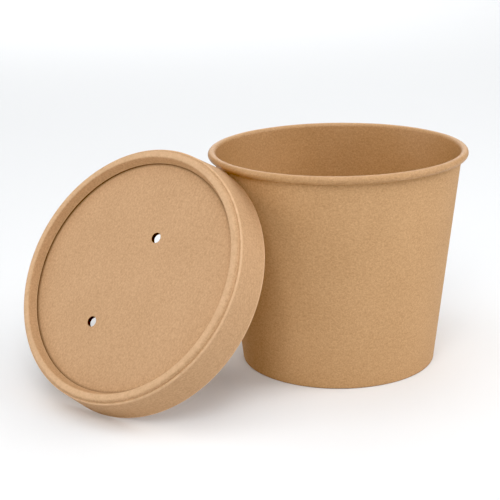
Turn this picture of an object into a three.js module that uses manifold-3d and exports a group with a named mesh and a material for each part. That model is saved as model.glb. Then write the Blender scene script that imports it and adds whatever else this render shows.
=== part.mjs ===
// Takeaway soup container of brown kraft paperboard: an open tapered cup with a rolled rim,
// and its matching vented lid, which stands on its edge beside the cup and leans on it.
// Millimetres, +Z up, the floor at z = 0, the origin under the middle of the pair.

import * as THREE from 'three';
import { mergeVertices } from 'three/addons/utils/BufferGeometryUtils.js';
import Module from 'manifold-3d';

// Cup, outside sizes
const RIM_RADIUS = 49;
const CUP_HEIGHT = 82.9;
const BEAD_RADIUS = 1.45;
const BASE_RADIUS = 37.3;

// Cup, inside the board
const WALL = 0.55;
const BASE_BOARD = 0.5;
const BASE_TOP = 8;
const BASE_BEND = 0.7;
const FLANGE_FOOT = 1.1;
const HEM_TOP = 6.2;
const FOLD_RADIUS = 0.35;
const ROLL_SWEEP = 290;

// Side seams, where the board laps over itself: their width, step and clear ends
const SEAM_WIDTH = 9;
const SEAM_STEP = 0.45;
const SEAM_AZIMUTH = 125;
const SEAM_FOOT = 1.2;
const SEAM_HEAD = 0.6;
const LID_SEAM_AZIMUTH = -135;
const LID_SEAM_FOOT = 0.4;

// Lid, outside sizes. Its skirt narrows from the open edge to the ridge under the folded rim.
const LID_RADIUS = 49.3;
const LID_TOP_RADIUS = 47.8;
const LID_HEIGHT = 14.1;
const LID_BOARD = 0.5;
const DISC_THICKNESS = 1.6;
const BACKING_RADIUS = 42;
const RECESS = 4;
const RECESS_RADIUS = 43;
const FLANGE_TOP = -1.5;
const DISC_BEND = 0.6;

// Lid, the folded rim: a tight inner corner, a flat crest, a round outer side, a groove and a ridge
const RECESS_MOUTH = 44.05;
const CORNER_RADIUS = 0.75;
const FACE_RADIUS = 47;
const ROLL_RADIUS = 1.3;
const GROOVE_RADIUS = 0.35;
const RIDGE_RADIUS = 0.55;

// Vent holes, each as [across, up] on the face of the leaning lid
const VENT_RADIUS = 1.9;
const VENT_SIDES = 16;
const VENTS = [[4.87, 15.33], [-10.33, -19.47]];

// Stance of the lid: which way its face looks, how far it leans, and where it stands
const LID_AZIMUTH = -124.3;
const LID_LEAN = 33.8;
const LID_BEARING = -147.4;
const CONTACT_GAP = 0.3;

// Clear space between two layers of board that are glued in the real thing
const GLUE_GAP = 0.3;

// Where a bend's middle facet cuts its corner, as a share of the bend's size
const BEND_CUT = 0.3;

// Facets in a full turn, and how near two points are to count as one
const SEGMENTS = 64;
const WELD = 1e-4;

const KRAFT_CUP = 0xb98b5f;
const KRAFT_LID = 0xc49a6c;
const ROUGHNESS = 0.87;

const wasm = await Module();
wasm.setup();

const radians = THREE.MathUtils.degToRad;

// Angle of the cup's wall from upright, so that it runs up into the inner side of the rim's roll
const rollCentre = new THREE.Vector2(RIM_RADIUS - BEAD_RADIUS, CUP_HEIGHT - BEAD_RADIUS);
const reach = new THREE.Vector2(rollCentre.x - BASE_RADIUS, rollCentre.y);
const SLOPE = Math.acos((BEAD_RADIUS - WALL) / reach.length()) - Math.atan2(reach.y, reach.x);

// Radius of a line that runs inside the wall's outer face, at a height
function wallRadius(height, depth) {
  return BASE_RADIUS + height * Math.tan(SLOPE) - depth / Math.cos(SLOPE);
}

// Points on an arc, angles in degrees
function arc(x, y, radius, from, to, steps) {
  return Array.from({ length: steps + 1 }, (_, i) => {
    const angle = radians(from + ((to - from) * i) / steps);
    return new THREE.Vector2(x + radius * Math.cos(angle), y + radius * Math.sin(angle));
  });
}

// Outline of a strip of board that follows a line, half its thickness on each side
function strip(line, thickness) {
  const sides = line.map((point, i) => {
    const before = line[Math.max(i - 1, 0)];
    const after = line[Math.min(i + 1, line.length - 1)];
    const arriving = (i === 0 ? after.clone().sub(point) : point.clone().sub(before)).normalize();
    const leaving = (i === line.length - 1 ? arriving : after.clone().sub(point)).clone().normalize();
    const along = arriving.clone().add(leaving).normalize();
    const half = thickness / 2 / along.dot(arriving);
    return new THREE.Vector2(-along.y, along.x).multiplyScalar(half);
  });
  const left = line.map((point, i) => point.clone().add(sides[i]));
  const right = line.map((point, i) => point.clone().sub(sides[i]));
  return [...left, ...right.reverse()];
}

// Closed mesh from an outline turned round the Z axis. A hollow one's outline ends where it starts.
function turned(outline, hollow) {
  const order = THREE.ShapeUtils.area(outline) > 0 ? outline : [...outline].reverse();
  const geometry = new THREE.LatheGeometry(hollow ? [...order, order[0]] : order, SEGMENTS);
  geometry.rotateX(Math.PI / 2);
  return geometry;
}

function toSolid(geometry) {
  const bare = geometry.clone();
  bare.deleteAttribute('normal');
  bare.deleteAttribute('uv');
  const merged = mergeVertices(bare, WELD);
  return new wasm.Manifold(new wasm.Mesh({
    numProp: 3,
    vertProperties: merged.attributes.position.array,
    triVerts: new Uint32Array(merged.index.array),
  }));
}

function toGeometry(solid) {
  const mesh = solid.getMesh();
  const geometry = new THREE.BufferGeometry();
  geometry.setAttribute('position', new THREE.BufferAttribute(mesh.vertProperties, 3));
  geometry.setIndex(new THREE.BufferAttribute(mesh.triVerts, 1));
  geometry.computeVertexNormals();
  return geometry;
}

// Upright wedge from the axis outwards, centred on a bearing, which cuts a seam out of a ring
function wedge(azimuth, width, radius, low, high) {
  const half = width / 2 / radius;
  const middle = radians(azimuth);
  const far = 1.3 * radius;
  const shape = new THREE.Shape([
    new THREE.Vector2(0, 0),
    new THREE.Vector2(far * Math.cos(middle - half), far * Math.sin(middle - half)),
    new THREE.Vector2(far * Math.cos(middle + half), far * Math.sin(middle + half)),
  ]);
  const geometry = new THREE.ExtrudeGeometry(shape, { depth: high - low, bevelEnabled: false });
  geometry.translate(0, 0, low);
  return toSolid(geometry);
}

// Adds the lap where the ends of the board overlap: a low step on the outside
function withSeam(body, ringOutline, azimuth, radius, low, high) {
  const ring = toSolid(turned(ringOutline, true));
  const lap = ring.intersect(wedge(azimuth, SEAM_WIDTH, radius, low, high));
  return body.add(lap);
}

// Line of the cup's board: up inside the folded foot, under it, up the wall and round the roll
function cupLine() {
  const inner = WALL + BASE_BOARD + 2 * GLUE_GAP + WALL / 2;
  const outer = WALL / 2;
  const slope = THREE.MathUtils.radToDeg(SLOPE);
  const bottom = WALL / 2;
  const centreHeight = bottom + FOLD_RADIUS;
  const innerCentre = wallRadius(centreHeight, inner) + FOLD_RADIUS / Math.cos(SLOPE);
  const outerCentre = wallRadius(centreHeight, outer) - FOLD_RADIUS / Math.cos(SLOPE);
  const start = 180 - slope;
  return [
    new THREE.Vector2(wallRadius(HEM_TOP, inner), HEM_TOP),
    ...arc(innerCentre, centreHeight, FOLD_RADIUS, start, 270, 3),
    ...arc(outerCentre, centreHeight, FOLD_RADIUS, -90, -slope, 3),
    ...arc(rollCentre.x, rollCentre.y, BEAD_RADIUS - WALL / 2, start, start - ROLL_SWEEP, 10),
  ];
}

function cupWall() {
  const wall = toSolid(turned(strip(cupLine(), WALL), true));
  const low = SEAM_FOOT;
  const high = CUP_HEIGHT - 2 * BEAD_RADIUS - SEAM_HEAD;
  const lapOutline = [
    new THREE.Vector2(wallRadius(low, WALL / 2), low),
    new THREE.Vector2(wallRadius(low, -SEAM_STEP), low),
    new THREE.Vector2(wallRadius(high, -SEAM_STEP), high),
    new THREE.Vector2(wallRadius(high, WALL / 2), high),
  ];
  return toGeometry(withSeam(wall, lapOutline, SEAM_AZIMUTH, RIM_RADIUS, low, high));
}

// Base of the cup: a flat disc whose edge turns down inside the folded foot
function cupBase() {
  const depth = WALL + GLUE_GAP + BASE_BOARD / 2;
  const middle = BASE_TOP - BASE_BOARD / 2;
  const corner = wallRadius(middle, depth);
  const chamfer = BEND_CUT * BASE_BEND;
  const line = [
    new THREE.Vector2(0, middle),
    new THREE.Vector2(corner - BASE_BEND, middle),
    new THREE.Vector2(corner - chamfer, middle - chamfer),
    new THREE.Vector2(wallRadius(middle - BASE_BEND, depth), middle - BASE_BEND),
    new THREE.Vector2(wallRadius(FLANGE_FOOT, depth), FLANGE_FOOT),
  ];
  return turned(strip(line, BASE_BOARD), false);
}

// How far the recess's side moves outwards for each millimetre that it rises
const RECESS_DRIFT = (RECESS_MOUTH - RECESS_RADIUS) / (RECESS - CORNER_RADIUS);

// Height of the widest line of the lid's ridge, and how far the skirt below it widens
const RIDGE_HEIGHT = -ROLL_RADIUS - GROOVE_RADIUS - RIDGE_RADIUS + LID_BOARD / 2;
const SKIRT_DRIFT = (LID_RADIUS - LID_TOP_RADIUS) / (LID_HEIGHT + RIDGE_HEIGHT);

// Line of the lid's band: up the side of the recess, over the rim, in at the groove, down the skirt
function bandLine() {
  const half = LID_BOARD / 2;
  const recessAngle = THREE.MathUtils.radToDeg(Math.atan(RECESS_DRIFT));
  const skirtAngle = THREE.MathUtils.radToDeg(Math.atan(SKIRT_DRIFT));
  const rollX = FACE_RADIUS - ROLL_RADIUS;
  const grooveX = FACE_RADIUS - half + GROOVE_RADIUS;
  const ridgeX = LID_TOP_RADIUS - RIDGE_RADIUS;
  return [
    new THREE.Vector2(RECESS_RADIUS + half, -RECESS + LID_BOARD),
    ...arc(RECESS_MOUTH + CORNER_RADIUS, -CORNER_RADIUS, CORNER_RADIUS - half, 180 - recessAngle, 90, 3),
    ...arc(rollX, -ROLL_RADIUS, ROLL_RADIUS - half, 90, 0, 4),
    ...arc(grooveX, -ROLL_RADIUS, GROOVE_RADIUS, 210, 270, 2),
    ...arc(ridgeX, RIDGE_HEIGHT, RIDGE_RADIUS - half, 90, skirtAngle, 3),
    new THREE.Vector2(LID_RADIUS - half, -LID_HEIGHT),
  ];
}

function lidBand() {
  const band = toSolid(turned(strip(bandLine(), LID_BOARD), true));
  const low = -LID_HEIGHT + LID_SEAM_FOOT;
  const high = RIDGE_HEIGHT - RIDGE_RADIUS;
  const outer = (z) => LID_RADIUS - SKIRT_DRIFT * (z + LID_HEIGHT);
  const lapOutline = [
    new THREE.Vector2(outer(low) - LID_BOARD / 2, low),
    new THREE.Vector2(outer(low) + SEAM_STEP, low),
    new THREE.Vector2(outer(high) + SEAM_STEP, high),
    new THREE.Vector2(outer(high) - LID_BOARD / 2, high),
  ];
  return toGeometry(withSeam(band, lapOutline, LID_SEAM_AZIMUTH, LID_RADIUS, low, high));
}

// Upright round bar between two heights
function bar(radius, low, high, sides) {
  const geometry = new THREE.CylinderGeometry(radius, radius, high - low, sides);
  geometry.rotateX(Math.PI / 2);
  geometry.translate(0, 0, (low + high) / 2);
  return geometry;
}

// Recessed disc of the lid: doubled board, its flange turned up behind the band, two vent holes
function lidDisc() {
  const half = LID_BOARD / 2;
  const middle = -RECESS - half;
  const corner = RECESS_RADIUS + LID_BOARD + GLUE_GAP + half;
  const flange = (z) => corner + RECESS_DRIFT * (z + RECESS);
  const bendTop = middle + DISC_BEND + half;
  const chamfer = BEND_CUT * DISC_BEND;
  const line = [
    new THREE.Vector2(0, middle),
    new THREE.Vector2(corner - DISC_BEND, middle),
    new THREE.Vector2(corner - chamfer, middle + chamfer),
    new THREE.Vector2(flange(bendTop), bendTop),
    new THREE.Vector2(flange(FLANGE_TOP), FLANGE_TOP),
  ];
  const under = -RECESS - DISC_THICKNESS;
  const backing = toSolid(bar(BACKING_RADIUS, under, middle, SEGMENTS));
  let disc = toSolid(turned(strip(line, LID_BOARD), false)).add(backing);
  for (const [across, up] of VENTS) {
    const drill = bar(VENT_RADIUS, under - LID_BOARD, -RECESS + LID_BOARD, VENT_SIDES);
    drill.translate(-up, across, 0);
    disc = disc.subtract(toSolid(drill));
  }
  return toGeometry(disc);
}

// Clear distance from the lid's open edge to the outside of the cup, with the lid's centre at a point
function clearance(centre, turn) {
  const rim = rollCentre.x;
  const point = new THREE.Vector3();
  let nearest = Infinity;
  for (let degree = 0; degree < 360; degree += 1) {
    const angle = radians(degree);
    point.set(LID_RADIUS * Math.cos(angle), LID_RADIUS * Math.sin(angle), -LID_HEIGHT);
    point.applyMatrix4(turn).add(centre);
    const radius = Math.hypot(point.x, point.y);
    const toBead = Math.hypot(radius - rim, point.z - rollCentre.y) - BEAD_RADIUS;
    const toWall = (radius - wallRadius(point.z, 0)) * Math.cos(SLOPE);
    nearest = Math.min(nearest, toBead, point.z < rollCentre.y ? toWall : Infinity);
  }
  return nearest;
}

// Slides the lid over the floor towards the cup until its open edge meets the cup
function placeLid(lid) {
  lid.rotation.set(0, radians(90 - LID_LEAN), radians(LID_AZIMUTH), 'ZYX');
  const turn = new THREE.Matrix4().makeRotationFromEuler(lid.rotation);
  const height = LID_RADIUS * Math.cos(radians(LID_LEAN)) + LID_HEIGHT * Math.sin(radians(LID_LEAN));
  const bearing = radians(LID_BEARING);
  const at = (distance) => new THREE.Vector3(
    distance * Math.cos(bearing), distance * Math.sin(bearing), height);
  const halvings = 40;
  let near = RIM_RADIUS;
  let far = 4 * RIM_RADIUS;
  for (let step = 0; step < halvings; step += 1) {
    const middle = (near + far) / 2;
    if (clearance(at(middle), turn) > CONTACT_GAP) {
      far = middle;
    } else {
      near = middle;
    }
  }
  lid.position.copy(at(far));
}

function part(name, geometry, color) {
  const material = new THREE.MeshStandardMaterial({ color, roughness: ROUGHNESS, metalness: 0 });
  const mesh = new THREE.Mesh(geometry, material);
  mesh.name = name;
  return mesh;
}

const cup = new THREE.Group();
cup.add(part('cup_wall', cupWall(), KRAFT_CUP));
cup.add(part('cup_base', cupBase(), KRAFT_CUP));

const lid = new THREE.Group();
lid.add(part('lid_disc', lidDisc(), KRAFT_LID));
lid.add(part('lid_band', lidBand(), KRAFT_LID));
placeLid(lid);

const container = new THREE.Group();
container.add(cup, lid);
container.updateMatrixWorld(true);
const middle = new THREE.Box3().setFromObject(container, true).getCenter(new THREE.Vector3());
container.position.set(-middle.x, -middle.y, 0);

export default container;
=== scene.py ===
# Takeaway soup container of brown kraft paperboard and its vented lid, dressed for rendering.
# Shapes are worked out in millimetres and written to the meshes in metres.

import math

import bmesh
import bpy
from mathutils import Matrix, Vector, noise


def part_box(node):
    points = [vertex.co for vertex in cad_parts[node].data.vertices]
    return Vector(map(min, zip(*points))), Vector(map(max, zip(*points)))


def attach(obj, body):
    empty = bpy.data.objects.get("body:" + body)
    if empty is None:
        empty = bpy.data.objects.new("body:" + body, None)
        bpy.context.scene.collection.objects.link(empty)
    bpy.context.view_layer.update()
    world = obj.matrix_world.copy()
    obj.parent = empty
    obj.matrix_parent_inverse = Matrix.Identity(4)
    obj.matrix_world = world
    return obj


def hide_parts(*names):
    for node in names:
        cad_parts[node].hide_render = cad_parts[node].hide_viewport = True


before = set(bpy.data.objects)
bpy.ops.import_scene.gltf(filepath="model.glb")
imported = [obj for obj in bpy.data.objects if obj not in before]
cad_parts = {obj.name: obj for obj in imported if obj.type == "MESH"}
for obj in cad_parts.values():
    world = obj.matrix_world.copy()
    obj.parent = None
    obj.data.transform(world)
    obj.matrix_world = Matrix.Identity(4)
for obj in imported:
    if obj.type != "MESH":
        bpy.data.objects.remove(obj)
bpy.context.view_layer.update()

MM = 0.001

# Cup, outside sizes
RIM_RADIUS = 49.0
CUP_HEIGHT = 82.9
BEAD_RADIUS = 1.45
BASE_RADIUS = 37.3

# Cup, the board's thickness and its folds
WALL = 0.55
BASE_BOARD = 0.5
BASE_TOP = 8.0
BASE_BEND = 0.7
FLANGE_FOOT = 1.1
HEM_TOP = 6.2
FOLD_RADIUS = 0.35
ROLL_SWEEP = 290.0

# Cup, the lapped side seam and the crimps of the hem inside the foot
SEAM_WIDTH = 9.0
SEAM_STEP = 0.45
SEAM_AZIMUTH = 125.0
SEAM_FOOT = 1.2
SEAM_RAMP = 1.5
CRIMPS = 80
CRIMP_DEPTH = 0.09

# Lid, outside sizes. In the CAD the ridge's radius is 0.05 larger: this round one stays inside
# the flats of the CAD's 64 facets
LID_RADIUS = 49.3
LID_TOP_RADIUS = 47.75
LID_HEIGHT = 14.1

# Lid, the board's thickness and the recessed disc with its backing
LID_BOARD = 0.5
DISC_THICKNESS = 1.6
BACKING_RADIUS = 42.0
BACKING_EDGE = 0.05
RECESS = 4.0
RECESS_RADIUS = 43.0
FOOT_CLEAR = 0.5
FLANGE_TOP = -1.5
DISC_BEND = 0.6

# Lid, the folded rim: a tight inner corner, a flat crest, a round outer side, a groove and a ridge
RECESS_MOUTH = 44.05
CORNER_RADIUS = 0.75
FACE_RADIUS = 47.0
ROLL_RADIUS = 1.3
GROOVE_RADIUS = 0.35
GROOVE_START = 190.0
RIDGE_RADIUS = 0.55
LID_SEAM_AZIMUTH = -135.0

# Vent holes, each as (across, up) on the face of the leaning lid
VENT_RADIUS = 1.9
VENT_CHAMFER = 0.12
VENT_SIDES = 64
VENTS = [(4.87, 15.33), (-10.33, -19.47)]

# Faces of a vent's wall: how far past its radius they may lie, and how upright they may face
VENT_MARGIN = 0.05
VENT_UPRIGHT = 0.9

# Stance of the lid: which way its face looks and how far it leans back
LID_AZIMUTH = -124.3
LID_LEAN = 33.8

# Layers of glued board lie this close
GLUE_GAP = 0.02

# The same in the CAD, with the facets of its turned pieces and the share of a bend that it cuts off
CAD_GAP = 0.3
CAD_SEGMENTS = 64
CAD_BEND_CUT = 0.3

# Unevenness: height, and either waves round the piece or scale per millimetre
BEAD_WAVE = 0.05
BEAD_WAVES = 4.0
SKIRT_WAVE = 0.06
SKIRT_WAVES = 2.0
BASE_WAVE = 0.12
BASE_WAVE_SCALE = 0.05
DISC_WAVE = 0.08
DISC_WAVE_SCALE = 0.04
DISC_SWELL = 0.12

# Where it dies out, and over what width: in millimetres from the base's outer edge inwards, and in
# shares of the recess's radius
BASE_WAVE_END = 8.0
BASE_WAVE_FADE = 6.0
DISC_WAVE_END = 0.8
DISC_WAVE_FADE = 0.15
DISC_SWELL_END = 0.9

# Slices of the noise, so that no two pieces are uneven alike
SKIRT_SLICE = 5.0
DISC_SLICE = 7.0

# How far rubbed places, painted highlights and painted shade reach, in millimetres
CUT_REACH = 0.2
CREST_REACH = 0.5
PAINTED_SHADE_REACH = 0.5
DISC_PAINTED_SHADE_REACH = 0.3

# The rub and painted highlight on the ridge start this far inside its crest and below its middle, and
# take this to grow
RIDGE_INSIDE = 0.6
RIDGE_BELOW = 0.3
RIDGE_REACH = 0.4

# The painted shade under the cup's roll lies further in from the rim than this many radii of the roll
BEAD_SHADE = 1.6

# How strongly places are rubbed, given a painted highlight or given painted shade, where 1 is a cut
# edge
BEAD_RUBBED_AND_LIT = 0.6
RIM_RUBBED_AND_LIT = 0.5
RIDGE_RUBBED_AND_LIT = 0.8
BEAD_PAINTED_SHADE = 0.7
FOOT_PAINTED_SHADOW = 0.6
FOLD_PAINTED_SHADE = 0.5
DISC_PAINTED_SHADE = 0.65

# Fineness of the meshes: steps round a turned piece and along each stretch of its outline
SEGMENTS = 480
STEPS = {
    "hem": 8, "fold": 6, "wall": 26, "bead": 36, "base": 24, "base_flange": 6, "bend": 8,
    "recess": 8, "corner": 10, "crest": 3, "roll": 14, "groove": 8, "ridge": 8, "skirt": 20,
    "disc": 30, "disc_flange": 4,
}

# A seam's cut edge lies between two bearings, each this part of a step from it, and the even ones
# within the next number of such parts are left out
NICKS_PER_STEP = 12
NICKS_CLEAR = 3

# What counts as one point in metres, as on the axis in millimetres, and as a crisp edge in degrees
MERGE_DISTANCE = 1e-7
ON_AXIS = 1e-6
SHARP_ANGLE = 38.0

# The map named board keeps the two faces of a board this many of its lengths apart
MAP_SPACING = 3

# Colours and roughness of the cup's board and the lid's board
# The worn colour is also the painted highlight on the crests of the roll, the rim and the ridge
KRAFT_CUP = {
    "pale": (0.674, 0.423, 0.231), "deep": (0.461, 0.272, 0.132),
    "fleck": (0.18, 0.09, 0.04), "worn_and_lit": (0.72, 0.48, 0.29), "roughness": 0.8,
}
KRAFT_LID = {
    "pale": (0.634, 0.404, 0.238), "deep": (0.440, 0.268, 0.144),
    "fleck": (0.2, 0.1, 0.05), "worn_and_lit": (0.74, 0.5, 0.31), "roughness": 0.82,
}
# Painted shade: near black for the vents' walls
VENT_SHADE_BROWN = (0.03, 0.014, 0.006)
# Painted shade: dark brown for the creases under the cup's roll, the lid's folds and the cup's foot
PAINTED_SHADE_BROWN = (0.12, 0.06, 0.024)

# The coating of the faces that meet the food deepens the board's colour and is smoother
COAT_TINT = (0.88, 0.85, 0.82)
COAT_DEPTH = 0.9
COAT_ROUGHNESS = 0.6

# Pulp of the board: each noise as (scale per millimetre, detail, roughness, half range, share of tone)
CLOUD = (0.45, 4.0, 0.6, 0.2, 0.09)
MOTTLE = (0.06, 3.0, 0.5, 0.2, 0.06)
GRAIN = (1.25, 3.0, 0.8, 0.15, 0.30)

# Fibres: their share of tone, what counts as a fibre, and the lays, each as (turn, width, length)
STRAND_SHARE = 0.24
FIBRE_EDGES = (0.56, 0.72)
LIGHT_FIBRES = [(12, 0.3, 2.0), (-38, 0.26, 1.7)]
DARK_FIBRES = [(64, 0.28, 1.8), (-8, 0.3, 2.2)]

# Drift that bends the fibres: its scale per millimetre and its reach in millimetres
DRIFT_SCALE = 0.12
DRIFT = 7.0

# Flecks: cells per millimetre, the share of cells without one, the largest size and the strength
FLECK_CELLS = 0.35
FLECK_CHANCE = 0.7
FLECK_SIZE = 0.07
FLECK_DEPTH = 0.35

# Surface of the board: how cloudy the rubbed and lit places and the painted shade in the vents are,
# relief in metres, and gloss
RUBBED_AND_LIT_LEAST = 0.55
VENT_SHADE_LEAST = 0.85
GRAIN_RELIEF = 0.5
BUMP_STRENGTH = 0.35
BUMP_DISTANCE = 0.00004
ROUGHNESS_SPREAD = 0.05
BOARD_SPECULAR = 0.35

# Floor: half its side in metres, its two whites, their scale per metre, its own faint glow and gloss
FLOOR_REACH = 12.0
FLOOR_WHITES = [(0.80, 0.812, 0.825), (0.81, 0.822, 0.835)]
FLOOR_SCALE = 3.0
FLOOR_GLOW = 0.06
FLOOR_ROUGHNESS = 0.9
FLOOR_SPECULAR = 0.1

# Camera, from the photograph's frame of 500 by 500 pixels: metres from the cup's axis, and degrees
CAMERA_BACK = 0.48265
CAMERA_HEIGHT = 0.18689
CAMERA_YAW = -4.029
CAMERA_PITCH = 16.624
CAMERA_ROLL = -1.323
CAMERA_NEAR = 0.01
FRAME_PIXELS = 500
FOCAL_PIXELS = 1300.0
SENSOR = 36.0

# Studio: the even fill, and the soft lamps as (name, place, what it looks at, size, power), in metres
# and watts
FILL = 0.22
MIDDLE = (0.0, 0.0, 0.04)
LAMPS = [
    ("back", (0.0, 2.2, 0.7), MIDDLE, 2.0, 15.0),
    ("right", (1.2, 0.0, 0.8), MIDDLE, 0.8, 9.3),
    ("top", (0.0, -0.1, 1.4), MIDDLE, 1.0, 6.5),
    ("left", (-1.3, -0.1, 0.5), MIDDLE, 0.8, 6.0),
    ("front", (0.0, -1.0, 1.0), MIDDLE, 0.8, 10.0),
    ("sweep", (-0.3, 1.4, 0.9), (-0.3, 1.8, 0.0), 1.0, 7.0),
]

# Light that is taken off the whole picture, which deepens its darkest tones
BLACK_LEVEL = 0.04


# Outlines

def arc(x, z, radius, start, end, steps):
    """Points on an arc, angles in degrees."""
    turn = [math.radians(start + (end - start) * i / steps) for i in range(steps + 1)]
    return [(x + radius * math.cos(a), z + radius * math.sin(a)) for a in turn]


def straight(a, b, steps):
    """Points between two others, without those two."""
    return [tuple(p + (q - p) * i / steps for p, q in zip(a, b)) for i in range(1, steps)]


def bend(a, corner, b, reach):
    """A soft turn at a corner, which leaves the lines to a and b the given reach away from it."""
    corner, a, b = Vector(corner), Vector(a), Vector(b)
    start = corner + (a - corner).normalized() * reach
    end = corner + (b - corner).normalized() * reach
    shares = [i / STEPS["bend"] for i in range(STEPS["bend"] + 1)]
    return [tuple(start * (1 - t) ** 2 + corner * 2 * t * (1 - t) + end * t * t) for t in shares]


def smooth(share):
    """Soft step from 0 to 1."""
    t = min(1.0, max(0.0, share))
    return t * t * (3 - 2 * t)


class Outline:
    """The two faces of a strip of board that follows a line, with its cut ends.

    Each point keeps how far along the line it lies, and its side: 1 is the left of the line.
    """

    def __init__(self, line, thickness):
        self.points = []
        self.normals = []
        self.along = []
        self.sides = []
        line = [Vector(p) for p in line]
        lengths = [0.0]
        for a, b in zip(line, line[1:]):
            lengths.append(lengths[-1] + (b - a).length)
        across = []
        for i, point in enumerate(line):
            arriving = (point - line[i - 1] if i else line[1] - point).normalized()
            leaving = (line[i + 1] - point if i < len(line) - 1 else arriving).normalized()
            heading = (arriving + leaving).normalized()
            across.append(Vector((-heading.y, heading.x)) * (thickness / 2 / heading.dot(arriving)))
        order = list(range(len(line)))
        for side, indices in ((1, order), (-1, order[::-1])):
            for i in indices:
                self.points.append(line[i] + across[i] * side)
                self.normals.append(across[i].normalized() * side)
                self.along.append(lengths[i])
                self.sides.append(side)
        self.length = lengths[-1]
        self.on_axis = line[0].x < ON_AXIS


def bearings(*edges):
    """Angles round a turned piece in radians, with a close pair at each of the given edges."""
    even = [math.tau * i / SEGMENTS for i in range(SEGMENTS)]
    nick = math.tau / SEGMENTS / NICKS_PER_STEP
    for edge in edges:
        at = math.radians(edge) % math.tau
        even = [a for a in even if abs(a - at) > NICKS_CLEAR * nick]
        even += [at - nick, at + nick]
    return sorted(even)


# Meshes

def turned(name, outline, angles, relief, flat, wear_and_painted_light, coat):
    """Mesh of an outline turned round the Z axis.

    relief(outline, i, angle) moves a point along the board's own normal, in millimetres.
    The map named board holds the flat board's own coordinates in millimetres: those of a disc
    where flat is set, and otherwise those of a band. wear_and_painted_light(outline, i) is kept
    for each point, from -1 where shade is painted into a crease to 1 on a pale cut edge; crests
    with a painted highlight lie between. coat is the side of the line which faces the food and has
    the thin clear coating.
    """
    count = len(outline.points)
    turns = len(angles)
    vertices = []
    for angle in angles:
        for i in range(count):
            place = outline.points[i] + outline.normals[i] * relief(outline, i, angle)
            vertices.append((place.x * math.cos(angle), place.x * math.sin(angle), place.y))
    faces = []
    corners = []
    for t in range(turns):
        for i in range(count):
            j = (i + 1) % count
            if outline.on_axis and j == 0:
                continue
            after = (t + 1) % turns
            faces.append((t * count + i, after * count + i, after * count + j, t * count + j))
            corners.append(((t, i), (t + 1, i), (t + 1, j), (t, j)))
    mesh = bpy.data.meshes.new(name)
    mesh.from_pydata([Vector(v) * MM for v in vertices], [], faces)
    layer = mesh.uv_layers.new(name="board")
    wide = [*angles, angles[0] + math.tau]
    reach = max(p.x for p in outline.points)
    offset = MAP_SPACING * outline.length
    for face, spots in enumerate(corners):
        for loop, (t, i) in enumerate(spots):
            along, side = outline.along[i], outline.sides[i]
            if flat:
                spot = (along * math.cos(wide[t]) + side * offset, along * math.sin(wide[t]))
            else:
                spot = (wide[t] * reach, along + (side > 0) * offset)
            layer.data[4 * face + loop].uv = spot
    # Wear, painted highlights and painted shade are kept together for each point
    worn_and_lit = mesh.attributes.new("wear_and_painted_light", "FLOAT", "POINT")
    worn_and_lit.data.foreach_set("value", [wear_and_painted_light(outline, i) for _ in angles for i in range(count)])
    coated = mesh.attributes.new("coated", "FLOAT", "POINT")
    coated.data.foreach_set("value", [float(s == coat) for _ in angles for s in outline.sides])
    return mesh


def finished(mesh):
    """Merges what meets on the axis and sets smooth shading with crisp cut edges."""
    work = bmesh.new()
    work.from_mesh(mesh)
    bmesh.ops.remove_doubles(work, verts=work.verts, dist=MERGE_DISTANCE)
    bmesh.ops.recalc_face_normals(work, faces=work.faces)
    work.to_mesh(mesh)
    work.free()
    mesh.polygons.foreach_set("use_smooth", [True] * len(mesh.polygons))
    mesh.set_sharp_from_angle(angle=math.radians(SHARP_ANGLE))
    return mesh


def linked_object(name, data):
    """New object in the scene."""
    made = bpy.data.objects.new(name, data)
    bpy.context.scene.collection.objects.link(made)
    return made


def piece(name, mesh, node, material, place):
    """Puts a mesh in the shared frame as the piece that stands for a CAD node."""
    mesh.transform(place)
    mesh.materials.append(material)
    made = linked_object(name, mesh)
    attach(made, "root")
    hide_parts(node)


def cut_end(outline, i):
    """Paler cut ends of the board."""
    nearest = min(outline.along[i], outline.length - outline.along[i])
    return 1 - smooth(nearest / CUT_REACH)


# Cup

SLOPE_REACH = (RIM_RADIUS - BEAD_RADIUS - BASE_RADIUS, CUP_HEIGHT - BEAD_RADIUS)
SLOPE = (math.acos((BEAD_RADIUS - WALL) / math.hypot(*SLOPE_REACH))
         - math.atan2(SLOPE_REACH[1], SLOPE_REACH[0]))
BEAD_FOOT = CUP_HEIGHT - 2 * BEAD_RADIUS


def wall_radius(height, depth):
    """Radius of a line that runs inside the wall's outer face, at a height."""
    return BASE_RADIUS + height * math.tan(SLOPE) - depth / math.cos(SLOPE)


def lap(angle, azimuth, radius):
    """Raised share of a seam at a bearing: one cut edge, and one side where the board eases back."""
    half = SEAM_WIDTH / 2 / radius
    off = (angle - math.radians(azimuth) + math.pi) % math.tau - math.pi
    if off > half:
        return 0.0
    return smooth((off + half) * radius / SEAM_RAMP)


def lap_edge(azimuth, radius):
    """Bearing of a seam's cut edge, in degrees."""
    return azimuth + math.degrees(SEAM_WIDTH / 2 / radius)


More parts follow.
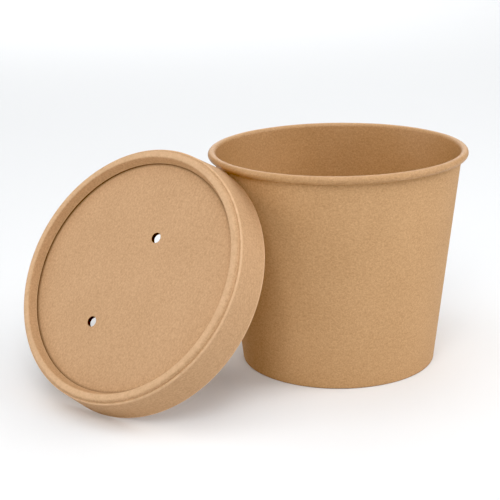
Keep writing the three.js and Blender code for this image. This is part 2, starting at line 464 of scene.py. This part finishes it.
def cup_line():
    """Line of the cup's board: down inside the foot, under it, up the wall and round the roll."""
    inner = WALL + BASE_BOARD + 2 * GLUE_GAP + WALL / 2
    outer = WALL / 2
    slope = math.degrees(SLOPE)
    centre = WALL / 2 + FOLD_RADIUS
    inner_x = wall_radius(centre, inner) + FOLD_RADIUS / math.cos(SLOPE)
    outer_x = wall_radius(centre, outer) - FOLD_RADIUS / math.cos(SLOPE)
    hem = (wall_radius(HEM_TOP, inner), HEM_TOP)
    inner_fold = arc(inner_x, centre, FOLD_RADIUS, 180 - slope, 270, STEPS["fold"])
    outer_fold = arc(outer_x, centre, FOLD_RADIUS, -90, -slope, STEPS["fold"])
    bead = arc(RIM_RADIUS - BEAD_RADIUS, CUP_HEIGHT - BEAD_RADIUS, BEAD_RADIUS - WALL / 2,
               180 - slope, 180 - slope - ROLL_SWEEP, STEPS["bead"])
    return [hem, *straight(hem, inner_fold[0], STEPS["hem"]), *inner_fold, *outer_fold,
            *straight(outer_fold[-1], bead[0], STEPS["wall"]), *bead]


def cup_relief(outline, i, angle):
    """The seam's lap outside, the hem's crimps inside the foot, and a slight wave of the roll."""
    place, side = outline.points[i], outline.sides[i]
    if place.y > BEAD_FOOT:
        spot = Vector((BEAD_WAVES * math.cos(angle), BEAD_WAVES * math.sin(angle), side))
        return BEAD_WAVE * noise.noise(spot) * smooth(place.y - BEAD_FOOT)
    hem = wall_radius(place.y, WALL * 1.5)
    if place.x < hem and place.y < HEM_TOP:
        fade = smooth(place.y - WALL) * smooth(HEM_TOP - place.y)
        return CRIMP_DEPTH * fade * (0.5 + 0.5 * math.cos(CRIMPS * angle)) * -side
    if side < 0 and place.y > SEAM_FOOT:
        fade = smooth(place.y - SEAM_FOOT) * smooth((BEAD_FOOT - place.y) * 2)
        return SEAM_STEP * fade * lap(angle, SEAM_AZIMUTH, BASE_RADIUS)
    return 0.0


def cup_wear_and_painted_light(outline, i):
    """Paler cut ends, a paler crest of the roll that is partly rubbed and partly a painted highlight,
    painted shade under the roll and a painted contact shadow at the foot.
    """
    place = outline.points[i]
    # Paler crest: partly rubbed board, partly a painted highlight
    crest = smooth((place.y - CUP_HEIGHT + CREST_REACH) / CREST_REACH)
    # Painted shade under the roll, and further down a painted contact shadow at the cup's foot
    under = 1 - smooth(abs(place.y - BEAD_FOOT) / PAINTED_SHADE_REACH)
    on_wall = place.x < RIM_RADIUS - BEAD_SHADE * BEAD_RADIUS
    foot = 1 - smooth(place.y / PAINTED_SHADE_REACH)
    rubbed_and_lit = max(cut_end(outline, i), BEAD_RUBBED_AND_LIT * crest)
    return rubbed_and_lit - max(BEAD_PAINTED_SHADE * under * on_wall, FOOT_PAINTED_SHADOW * foot)


def base_line():
    """Line of the cup's base: out over the disc, and down inside the wall."""
    depth = WALL + GLUE_GAP + BASE_BOARD / 2
    middle = BASE_TOP - BASE_BOARD / 2
    corner = (wall_radius(middle, depth), middle)
    foot = (wall_radius(FLANGE_FOOT, depth), FLANGE_FOOT)
    turn = bend((0, middle), corner, foot, BASE_BEND)
    return [(0, middle), *straight((0, middle), turn[0], STEPS["base"]), *turn,
            *straight(turn[-1], foot, STEPS["base_flange"]), foot]


def base_relief(outline, i, angle):
    """The base's slight unevenness, the same on both faces."""
    place = outline.points[i]
    spot = Vector((place.x * math.cos(angle), place.x * math.sin(angle), 0)) * BASE_WAVE_SCALE
    fade = 1 - smooth((place.x - BASE_RADIUS + BASE_WAVE_END) / BASE_WAVE_FADE)
    return BASE_WAVE * noise.noise(spot) * fade * outline.sides[i]


def flange_wear(outline, i):
    """Paler cut end of a disc's flange. The disc's middle has no cut end."""
    return 1 - smooth((outline.length - outline.along[i]) / CUT_REACH)


def build_cup(place):
    """The wall and the base, both of one board."""
    material = kraft("kraft_cup", **KRAFT_CUP)
    seam = bearings(lap_edge(SEAM_AZIMUTH, BASE_RADIUS))
    outline = Outline(cup_line(), WALL)
    wall = turned("cup_wall_board", outline, seam, cup_relief, False, cup_wear_and_painted_light, 1)
    piece("cup_wall_board", finished(wall), "cup_wall", material, place)
    outline = Outline(base_line(), BASE_BOARD)
    base = turned("cup_base_board", outline, bearings(), base_relief, True, flange_wear, 1)
    piece("cup_base_board", finished(base), "cup_base", material, place)


# Lid, worked out with the top of its rim at height 0

RECESS_DRIFT = (RECESS_MOUTH - RECESS_RADIUS) / (RECESS - CORNER_RADIUS)
RIDGE_HEIGHT = -ROLL_RADIUS - GROOVE_RADIUS - RIDGE_RADIUS + LID_BOARD / 2
SKIRT_DRIFT = (LID_RADIUS - LID_TOP_RADIUS) / (LID_HEIGHT + RIDGE_HEIGHT)


def band_line():
    """Line of the lid's band: up the recess's side, over the rim, in at the groove, down the skirt."""
    half = LID_BOARD / 2
    recess_angle = math.degrees(math.atan(RECESS_DRIFT))
    skirt_angle = math.degrees(math.atan(SKIRT_DRIFT))
    foot = (RECESS_RADIUS + half, -RECESS + FOOT_CLEAR)
    corner = arc(RECESS_MOUTH + CORNER_RADIUS, -CORNER_RADIUS, CORNER_RADIUS - half,
                 180 - recess_angle, 90, STEPS["corner"])
    roll = arc(FACE_RADIUS - ROLL_RADIUS, -ROLL_RADIUS, ROLL_RADIUS - half, 90, 0, STEPS["roll"])
    groove = arc(FACE_RADIUS - half + GROOVE_RADIUS, -ROLL_RADIUS, GROOVE_RADIUS,
                 GROOVE_START, 270, STEPS["groove"])
    ridge = arc(LID_TOP_RADIUS - RIDGE_RADIUS, RIDGE_HEIGHT, RIDGE_RADIUS - half,
                90, skirt_angle, STEPS["ridge"])
    hem = (LID_RADIUS - half, -LID_HEIGHT)
    return [foot, *straight(foot, corner[0], STEPS["recess"]), *corner,
            *straight(corner[-1], roll[0], STEPS["crest"]), *roll, *groove, *ridge,
            *straight(ridge[-1], hem, STEPS["skirt"]), hem]


def band_relief(outline, i, angle):
    """The lap of the skirt's seam, and the slight wave of its open edge."""
    place, side = outline.points[i], outline.sides[i]
    below = RIDGE_HEIGHT - RIDGE_RADIUS
    if place.y > below or place.x < FACE_RADIUS:
        return 0.0
    down = -place.y / LID_HEIGHT
    spot = Vector((SKIRT_WAVES * math.cos(angle), SKIRT_WAVES * math.sin(angle), SKIRT_SLICE))
    moved = SKIRT_WAVE * noise.noise(spot) * smooth(down) * side
    if side > 0:
        moved += SEAM_STEP * smooth(below - place.y) * lap(angle, LID_SEAM_AZIMUTH, LID_RADIUS)
    return moved


def band_wear_and_painted_light(outline, i):
    """Paler cut ends, paler crests of the rim and the ridge that are partly rubbed and partly a
    painted highlight, and painted shade at the fold by the disc.
    """
    place = outline.points[i]
    # Paler crests of the rim and the ridge: partly rubbed board, partly a painted highlight
    rim = smooth((place.y + CREST_REACH) / CREST_REACH)
    out = smooth((place.x - LID_TOP_RADIUS + RIDGE_INSIDE) / RIDGE_REACH)
    up = smooth((place.y - RIDGE_HEIGHT + RIDGE_BELOW) / RIDGE_REACH)
    # Painted shade where the band folds down to the disc
    fold = 1 - smooth((place.y + RECESS - FOOT_CLEAR) / PAINTED_SHADE_REACH)
    in_recess = place.x < RECESS_MOUTH
    rubbed_and_lit = max(cut_end(outline, i), RIM_RUBBED_AND_LIT * rim, RIDGE_RUBBED_AND_LIT * out * up)
    return rubbed_and_lit - FOLD_PAINTED_SHADE * fold * in_recess


def disc_line():
    """Line of the lid's recessed disc: out over the disc, and up behind the band's fold."""
    half = LID_BOARD / 2
    middle = -RECESS - half
    corner = (RECESS_RADIUS + LID_BOARD + GLUE_GAP + half, middle)
    top = (corner[0] + (FLANGE_TOP + RECESS) * RECESS_DRIFT, FLANGE_TOP)
    turn = bend((0, middle), corner, top, DISC_BEND)
    edge = [(BACKING_RADIUS - BACKING_EDGE, middle), (BACKING_RADIUS + BACKING_EDGE, middle)]
    return [(0, middle), *straight((0, middle), edge[0], STEPS["disc"]), *edge, *turn,
            *straight(turn[-1], top, STEPS["disc_flange"]), top]


def disc_relief(outline, i, angle):
    """The disc's slight swell and unevenness, the same on both faces, and the backing under it."""
    place, side = outline.points[i], outline.sides[i]
    share = place.x / RECESS_RADIUS
    spot = Vector((place.x * math.cos(angle), place.x * math.sin(angle), DISC_SLICE))
    fade = 1 - smooth((share - DISC_WAVE_END) / DISC_WAVE_FADE)
    swell = DISC_SWELL * (1 - smooth(share / DISC_SWELL_END))
    backing = DISC_THICKNESS - LID_BOARD if side < 0 and place.x < BACKING_RADIUS else 0.0
    return (swell + DISC_WAVE * noise.noise(spot * DISC_WAVE_SCALE) * fade) * side + backing


def disc_wear_and_painted_shade(outline, i):
    """Paler cut end of the lid's disc, and painted shade round its edge by the fold."""
    # Painted shade at the disc's edge by the fold
    inside = outline.points[i].x - RECESS_RADIUS + DISC_PAINTED_SHADE_REACH
    return flange_wear(outline, i) - DISC_PAINTED_SHADE * smooth(inside / DISC_PAINTED_SHADE_REACH)


def vent_drill(across, up):
    """Cutter for one vent hole, flared at both faces of the board."""
    middle = -RECESS - DISC_THICKNESS / 2
    half = DISC_THICKNESS / 2 + DISC_SWELL
    far = 2 * DISC_THICKNESS
    flare = VENT_RADIUS + VENT_CHAMFER + far - half
    rings = [(flare, -far), (VENT_RADIUS, -half + VENT_CHAMFER),
             (VENT_RADIUS, half - VENT_CHAMFER), (flare, far)]
    vertices = []
    for radius, height in rings:
        for k in range(VENT_SIDES):
            turn = math.tau * k / VENT_SIDES
            vertices.append((-up + radius * math.cos(turn), across + radius * math.sin(turn),
                             middle + height))
    last = (len(rings) - 1) * VENT_SIDES
    faces = [tuple(reversed(range(VENT_SIDES))), tuple(range(last, last + VENT_SIDES))]
    for start in range(0, last, VENT_SIDES):
        for k in range(VENT_SIDES):
            a, b = start + k, start + (k + 1) % VENT_SIDES
            faces.append((a, b, b + VENT_SIDES, a + VENT_SIDES))
    mesh = bpy.data.meshes.new("vent_drill")
    mesh.from_pydata([Vector(v) * MM for v in vertices], [], faces)
    return mesh


def mark_vents(mesh):
    """Marks the faces of the vents' walls, which are coloured near black as painted shade."""
    reach = (VENT_RADIUS + VENT_CHAMFER + VENT_MARGIN) * MM
    middles = [Vector((-up, across)) * MM for across, up in VENTS]
    marks = []
    for face in mesh.polygons:
        near = min((face.center.xy - middle).length for middle in middles)
        marks.append(float(near < reach and abs(face.normal.z) < VENT_UPRIGHT))
    mesh.attributes.new("vent", "FLOAT", "FACE").data.foreach_set("value", marks)
    return mesh


def drilled(mesh, cutters):
    """The mesh with the cutters' shapes taken out of it."""
    body = linked_object("blank", mesh)
    tools = []
    for cutter in cutters:
        tool = linked_object(cutter.name, cutter)
        tools.append(tool)
        cut = body.modifiers.new(tool.name, "BOOLEAN")
        cut.operation = "DIFFERENCE"
        cut.solver = "EXACT"
        cut.object = tool
    graph = bpy.context.evaluated_depsgraph_get()
    result = bpy.data.meshes.new_from_object(body.evaluated_get(graph))
    for made in (body, *tools):
        bpy.data.objects.remove(made)
    return result


def cad_disc_edge():
    """Radii and heights of the disc's outline as the CAD has it, with its wider glue gap."""
    half = LID_BOARD / 2
    middle = -RECESS - half
    corner = RECESS_RADIUS + LID_BOARD + CAD_GAP + half
    chamfer = CAD_BEND_CUT * DISC_BEND
    bend_top = middle + DISC_BEND + half
    line = [(corner - DISC_BEND, middle), (corner - chamfer, middle + chamfer)]
    line += [(corner + RECESS_DRIFT * (z + RECESS), z) for z in (bend_top, FLANGE_TOP)]
    return [*Outline(line, LID_BOARD).points, Vector((BACKING_RADIUS, -RECESS - DISC_THICKNESS))]


def lid_place():
    """Matrix that stands the lid on its edge and leans it on the cup, where the CAD's disc is."""
    lean = math.radians(LID_LEAN)
    turn = Matrix.Rotation(math.radians(LID_AZIMUTH), 4, "Z") @ Matrix.Rotation(
        math.pi / 2 - lean, 4, "Y")
    facets = [math.tau * k / CAD_SEGMENTS for k in range(CAD_SEGMENTS)]
    corners = [turn @ Vector((r * math.cos(a), r * math.sin(a), z)) for r, z in cad_disc_edge()
               for a in facets]
    low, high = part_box("lid_disc")
    middle = (low + high) / 2
    x, y = (middle[k] - (max(c[k] for c in corners) + min(c[k] for c in corners)) / 2 * MM
            for k in range(2))
    height = (LID_RADIUS * math.cos(lean) + LID_HEIGHT * math.sin(lean)) * MM
    return Matrix.Translation((x, y, height)) @ turn


def build_lid(place):
    """The band and the drilled disc, both of one board."""
    material = kraft("kraft_lid", **KRAFT_LID)
    seam = bearings(lap_edge(LID_SEAM_AZIMUTH, LID_RADIUS))
    outline = Outline(band_line(), LID_BOARD)
    band = turned("lid_band_board", outline, seam, band_relief, False, band_wear_and_painted_light, -1)
    piece("lid_band_board", finished(band), "lid_band", material, place)
    outline = Outline(disc_line(), LID_BOARD)
    disc = turned("lid_disc_board", outline, bearings(), disc_relief, True, disc_wear_and_painted_shade, -1)
    drills = [vent_drill(*vent) for vent in VENTS]
    disc = mark_vents(finished(drilled(finished(disc), drills)))
    piece("lid_disc_board", disc, "lid_disc", material, place)


# Materials

def linked(tree, kind, sources, **settings):
    """New node with its settings, and its inputs linked or set by name or number."""
    made = tree.nodes.new(kind)
    for key, value in settings.items():
        setattr(made, key, value)
    for key, value in sources.items():
        if isinstance(value, bpy.types.NodeSocket):
            tree.links.new(value, made.inputs[key])
        else:
            made.inputs[key].default_value = value
    return made


def noise_value(tree, vector, scale, detail, roughness=0.5):
    """Noise, mostly from 0.3 to 0.7."""
    made = linked(tree, "ShaderNodeTexNoise", {
        "Vector": vector, "Scale": scale, "Detail": detail, "Roughness": roughness})
    return made.outputs["Fac"]


def ranged(tree, value, low, high, to_low, to_high):
    """A value moved from one range to another and kept inside it."""
    made = linked(tree, "ShaderNodeMapRange", {
        0: value, 1: low, 2: high, 3: to_low, 4: to_high})
    return made.outputs[0]


def math_value(tree, operation, *values):
    """The result of one sum on two or three values."""
    return linked(tree, "ShaderNodeMath", dict(enumerate(values)), operation=operation).outputs[0]


def mixed(tree, share, a, b, blend="MIX"):
    """Colour a with a share of colour b."""
    made = linked(tree, "ShaderNodeMix", {0: share, 6: a, 7: b}, data_type="RGBA", blend_type=blend)
    return made.outputs[2]


def kept(tree, name):
    """A value that the mesh keeps for each point or face."""
    return linked(tree, "ShaderNodeAttribute", {}, attribute_name=name).outputs["Fac"]


def pulp(tree, vector, scale, detail, roughness, half_range):
    """Noise of the pulp, from -1 to 1."""
    found = noise_value(tree, vector, scale, detail, roughness)
    return ranged(tree, found, 0.5 - half_range, 0.5 + half_range, -1.0, 1.0)


def fibres(tree, vector, turn, width, length):
    """Thin streaks along one direction of the board: 1 on a fibre, 0 between."""
    lined = linked(tree, "ShaderNodeMapping", {
        "Vector": vector, "Rotation": (0, 0, math.radians(turn)),
        "Scale": (1 / length, 1 / width, 1)}).outputs[0]
    return ranged(tree, noise_value(tree, lined, 1.0, 2.0), *FIBRE_EDGES, 0.0, 1.0)


def lays(tree, vector, pair):
    """The stronger of two lays of fibres."""
    one, other = (fibres(tree, vector, *lay) for lay in pair)
    return math_value(tree, "MAXIMUM", one, other)


def kraft(name, pale, deep, fleck, worn_and_lit, roughness):
    """Brown kraft board: pulp and fibres, rare flecks, rubbed places with painted highlights on
    crests, painted shade in creases and vents, coated faces.
    """
    material = bpy.data.materials.new(name)
    material.use_nodes = True
    tree = material.node_tree
    shader = tree.nodes["Principled BSDF"]
    board = linked(tree, "ShaderNodeUVMap", {}, uv_map="board").outputs[0]
    drift = linked(tree, "ShaderNodeTexNoise", {"Vector": board, "Scale": DRIFT_SCALE, "Detail": 2.0})
    bent = linked(tree, "ShaderNodeVectorMath", {
        0: drift.outputs["Color"], 1: (DRIFT, DRIFT, 0.0), 2: board},
        operation="MULTIPLY_ADD").outputs[0]

    cloud = pulp(tree, board, *CLOUD[:-1])
    mottle = pulp(tree, board, *MOTTLE[:-1])
    grain = pulp(tree, board, *GRAIN[:-1])
    strands = math_value(tree, "SUBTRACT", lays(tree, bent, LIGHT_FIBRES),
                         lays(tree, bent, DARK_FIBRES))
    tone = math_value(tree, "MULTIPLY_ADD", cloud, CLOUD[-1], 0.5)
    for source, share in ((mottle, MOTTLE[-1]), (grain, GRAIN[-1]), (strands, STRAND_SHARE)):
        tone = math_value(tree, "MULTIPLY_ADD", source, share, tone)
    colour = mixed(tree, tone, (*deep, 1), (*pale, 1))

    cells = linked(tree, "ShaderNodeTexVoronoi", {
        "Vector": bent, "Scale": FLECK_CELLS, "Randomness": 1.0})
    chance = linked(tree, "ShaderNodeSeparateColor", {0: cells.outputs["Color"]}).outputs[0]
    size = ranged(tree, chance, FLECK_CHANCE, 1.0, 0.0, FLECK_SIZE)
    spot = math_value(tree, "LESS_THAN", cells.outputs["Distance"], size)
    colour = mixed(tree, math_value(tree, "MULTIPLY", spot, FLECK_DEPTH), colour, (*fleck, 1))

    # Paler rubbed places; on the crests partly a painted highlight
    wear_and_painted_light = kept(tree, "wear_and_painted_light")
    rubbed_and_lit = math_value(tree, "MULTIPLY", ranged(tree, wear_and_painted_light, 0.0, 1.0, 0.0, 1.0),
                        ranged(tree, cloud, -1.0, 1.0, RUBBED_AND_LIT_LEAST, 1.0))
    colour = mixed(tree, rubbed_and_lit, colour, (*worn_and_lit, 1))
    # Painted shade in the creases, the folds and at the cup's foot
    painted_shade = ranged(tree, wear_and_painted_light, -1.0, 0.0, 1.0, 0.0)
    colour = mixed(tree, painted_shade, colour, (*PAINTED_SHADE_BROWN, 1))
    # Painted shade inside the vents
    vent_shade = math_value(tree, "MULTIPLY", kept(tree, "vent"),
                       ranged(tree, cloud, -1.0, 1.0, VENT_SHADE_LEAST, 1.0))
    colour = mixed(tree, vent_shade, colour, (*VENT_SHADE_BROWN, 1))
    coated = kept(tree, "coated")
    deepened = math_value(tree, "MULTIPLY", coated, COAT_DEPTH)
    colour = mixed(tree, deepened, colour, (*COAT_TINT, 1), "MULTIPLY")
    tree.links.new(colour, shader.inputs["Base Color"])

    height = math_value(tree, "MULTIPLY_ADD", grain, GRAIN_RELIEF, strands)
    bump = linked(tree, "ShaderNodeBump", {
        "Height": height, "Strength": BUMP_STRENGTH, "Distance": BUMP_DISTANCE})
    tree.links.new(bump.outputs[0], shader.inputs["Normal"])
    matt = ranged(tree, tone, 0.0, 1.0, roughness + ROUGHNESS_SPREAD, roughness - ROUGHNESS_SPREAD)
    smoother = ranged(tree, coated, 0.0, 1.0, 1.0, COAT_ROUGHNESS)
    tree.links.new(math_value(tree, "MULTIPLY", matt, smoother), shader.inputs["Roughness"])
    shader.inputs["Specular IOR Level"].default_value = BOARD_SPECULAR
    return material


def floor_material():
    """Plain white sweep with the faintest unevenness."""
    material = bpy.data.materials.new("white_sweep")
    material.use_nodes = True
    tree = material.node_tree
    shader = tree.nodes["Principled BSDF"]
    spot = linked(tree, "ShaderNodeTexCoord", {}).outputs["Object"]
    tone = noise_value(tree, spot, FLOOR_SCALE, 2.0)
    colour = mixed(tree, tone, *((*white, 1) for white in FLOOR_WHITES))
    tree.links.new(colour, shader.inputs["Base Color"])
    shader.inputs["Roughness"].default_value = FLOOR_ROUGHNESS
    shader.inputs["Specular IOR Level"].default_value = FLOOR_SPECULAR
    shader.inputs["Emission Color"].default_value = (1, 1, 1, 1)
    shader.inputs["Emission Strength"].default_value = FLOOR_GLOW
    return material


# Stage

def build_floor():
    """Wide flat floor at height 0."""
    sides = ((-1, -1), (1, -1), (1, 1), (-1, 1))
    corners = [(x * FLOOR_REACH, y * FLOOR_REACH, 0.0) for x, y in sides]
    mesh = bpy.data.meshes.new("floor")
    mesh.from_pydata(corners, [], [(0, 1, 2, 3)])
    mesh.materials.append(floor_material())
    linked_object("floor", mesh)


def panel(name, place, target, size, power):
    """Square soft light that looks at a point."""
    data = bpy.data.lights.new(name, "AREA")
    data.shape = "SQUARE"
    data.size = size
    data.energy = power
    made = linked_object(name, data)
    made.location = place
    made.rotation_euler = (Vector(target) - Vector(place)).to_track_quat("-Z", "Y").to_euler()


def build_lights():
    """Even white fill from all round, and the lamps."""
    world = bpy.data.worlds.new("studio")
    bpy.context.scene.world = world
    world.use_nodes = True
    background = world.node_tree.nodes["Background"]
    background.inputs["Color"].default_value = (1, 1, 1, 1)
    background.inputs["Strength"].default_value = FILL
    for lamp in LAMPS:
        panel(*lamp)


def build_camera(axis):
    """Camera at the photograph's viewing angle, placed from the cup's axis."""
    data = bpy.data.cameras.new("camera")
    data.sensor_width = SENSOR
    data.lens = FOCAL_PIXELS * SENSOR / FRAME_PIXELS
    data.clip_start = CAMERA_NEAR
    yaw, pitch, roll = (math.radians(a) for a in (CAMERA_YAW, CAMERA_PITCH, CAMERA_ROLL))
    ahead = Vector((math.sin(yaw) * math.cos(pitch), math.cos(yaw) * math.cos(pitch),
                    -math.sin(pitch)))
    right = ahead.cross(Vector((0, 0, 1))).normalized()
    above = right.cross(ahead)
    across = right * math.cos(roll) + above * math.sin(roll)
    up = above * math.cos(roll) - right * math.sin(roll)
    turn = Matrix((across, up, -ahead)).transposed().to_4x4()
    made = linked_object("camera", data)
    place = (axis.x, axis.y - CAMERA_BACK, CAMERA_HEIGHT)
    made.matrix_world = Matrix.Translation(place) @ turn
    bpy.context.scene.camera = made


def set_tones():
    """Plain tones, with the black and white points moved up together."""
    view = bpy.context.scene.view_settings
    view.view_transform = "Standard"
    view.use_curve_mapping = True
    view.curve_mapping.black_level = (BLACK_LEVEL,) * 3
    view.curve_mapping.white_level = (1 + BLACK_LEVEL,) * 3
    view.curve_mapping.update()


# The scene

low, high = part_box("cup_base")
cup_axis = Vector(((low.x + high.x) / 2, (low.y + high.y) / 2, 0))
build_camera(cup_axis)
build_cup(Matrix.Translation(cup_axis))
build_lid(lid_place())
build_floor()
build_lights()
set_tones()
